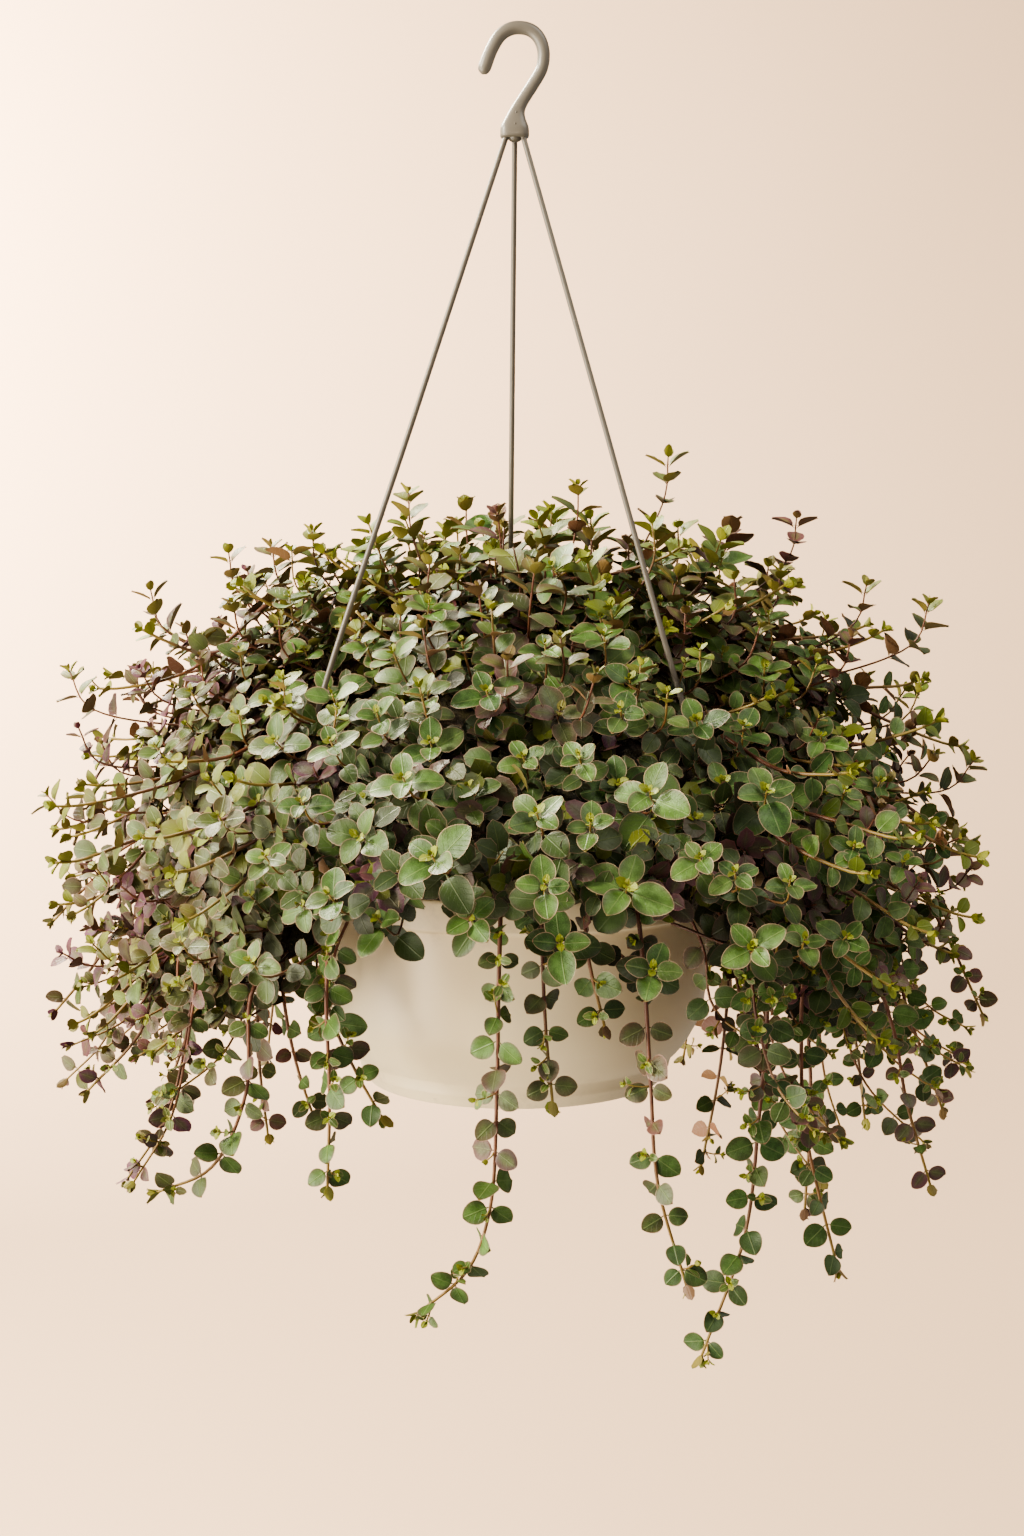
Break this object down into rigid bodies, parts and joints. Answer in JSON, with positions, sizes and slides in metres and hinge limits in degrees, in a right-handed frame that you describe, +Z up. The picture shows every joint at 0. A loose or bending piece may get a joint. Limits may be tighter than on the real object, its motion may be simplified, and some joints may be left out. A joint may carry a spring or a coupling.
{
  "type": "potted turtle vine",
  "caption": "Bushy creeping houseplant with small round leaves that fills a plastic hanging pot and trails over its rim, on stiff strands from a moulded hook.",
  "frame": {"origin": "the point under the hook's crown where the hook bears on the rod or ring that holds it", "axes": "+Z is up, from the pot's base to the hook; +X is to the right and +Y to the back, as the picture sees the plant; the pot's axis is the Z axis"},
  "size_m": [0.5964, 0.5105, 0.7692],
  "materials": {
    "pot_plastic": "satin",
    "hanger_plastic": "satin",
    "potting_mix": "matte",
    "foliage": "satin"
  },
  "bodies": {
    "root": {"pot": "pot_plastic", "soil": "potting_mix", "hook": "hanger_plastic", "strand_left": "hanger_plastic", "strand_right": "hanger_plastic", "strand_rear": "hanger_plastic", "trailing_stem_01": "foliage", "trailing_stem_02": "foliage", "trailing_stem_03": "foliage", "trailing_stem_04": "foliage", "trailing_stem_05": "foliage", "trailing_stem_06": "foliage", "trailing_stem_07": "foliage", "trailing_stem_08": "foliage", "trailing_stem_09": "foliage", "trailing_stem_10": "foliage", "trailing_stem_11": "foliage", "trailing_stem_12": "foliage", "trailing_stem_13": "foliage", "trailing_stem_14": "foliage", "trailing_stem_15": "foliage", "trailing_stem_16": "foliage", "trailing_stem_17": "foliage", "trailing_stem_18": "foliage", "trailing_stem_19": "foliage", "trailing_stem_20": "foliage", "trailing_stem_21": "foliage", "trailing_stem_22": "foliage", "trailing_stem_23": "foliage", "trailing_stem_24": "foliage", "trailing_stem_25": "foliage", "trailing_stem_26": "foliage", "clump_1": "foliage", "clump_2": "foliage", "clump_3": "foliage", "clump_4": "foliage", "clump_5": "foliage", "clump_6": "foliage"}
  },
  "joints": []
}
